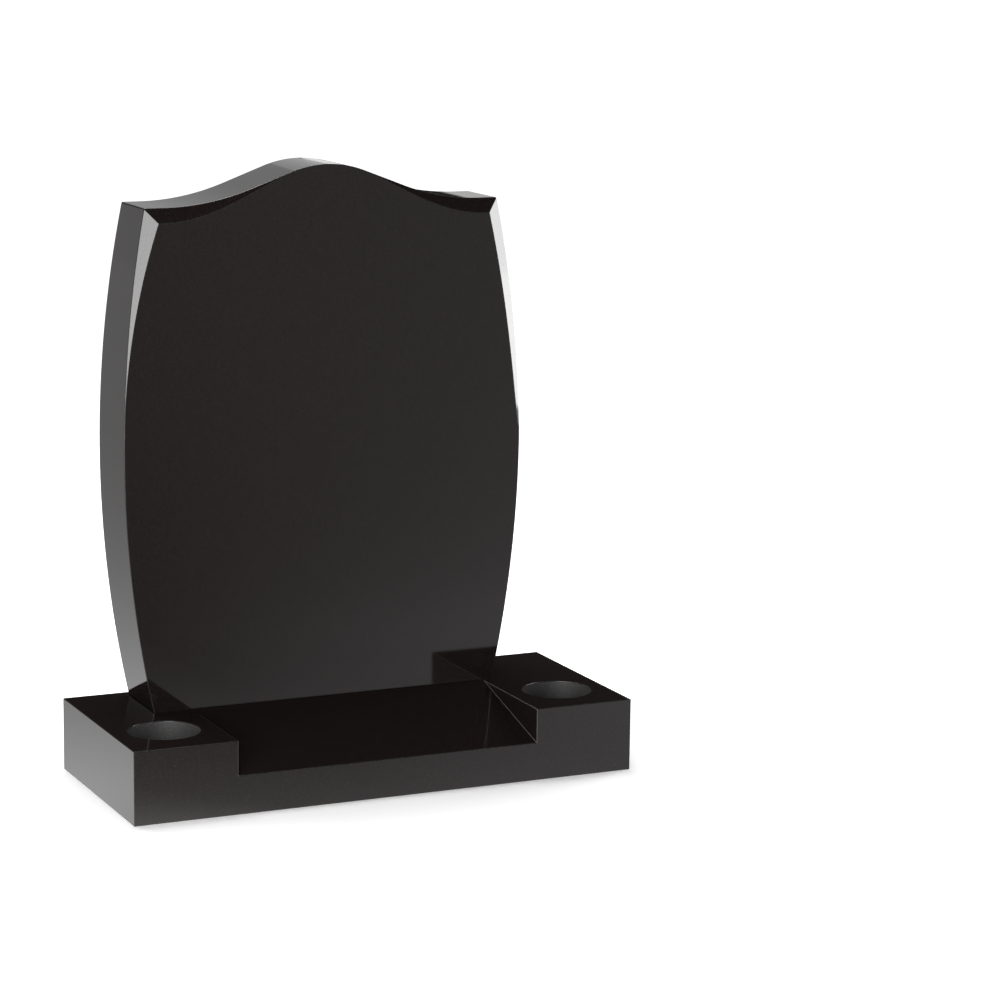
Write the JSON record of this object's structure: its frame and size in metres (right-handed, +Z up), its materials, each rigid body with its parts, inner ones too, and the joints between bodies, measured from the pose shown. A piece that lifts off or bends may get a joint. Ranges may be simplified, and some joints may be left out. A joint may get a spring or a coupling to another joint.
{
  "type": "headstone",
  "caption": "Ogee-topped memorial headstone with bowed sides and tapering chamfers, standing on a base with a sloping middle between raised flower blocks.",
  "frame": {"origin": "on the ground, under the middle of the base", "axes": "+X along the base to the right seen from the front, +Y from the front to the back, +Z up; the plain polished face for an inscription looks to -Y"},
  "size_m": [0.762, 0.318, 0.8809],
  "materials": {
    "base_granite": "mirror-polished black granite with a fine grain",
    "headstone_granite": "mirror-polished black granite with a fine grain"
  },
  "bodies": {
    "root": {"base": "base_granite", "headstone": "headstone_granite"}
  },
  "joints": []
}
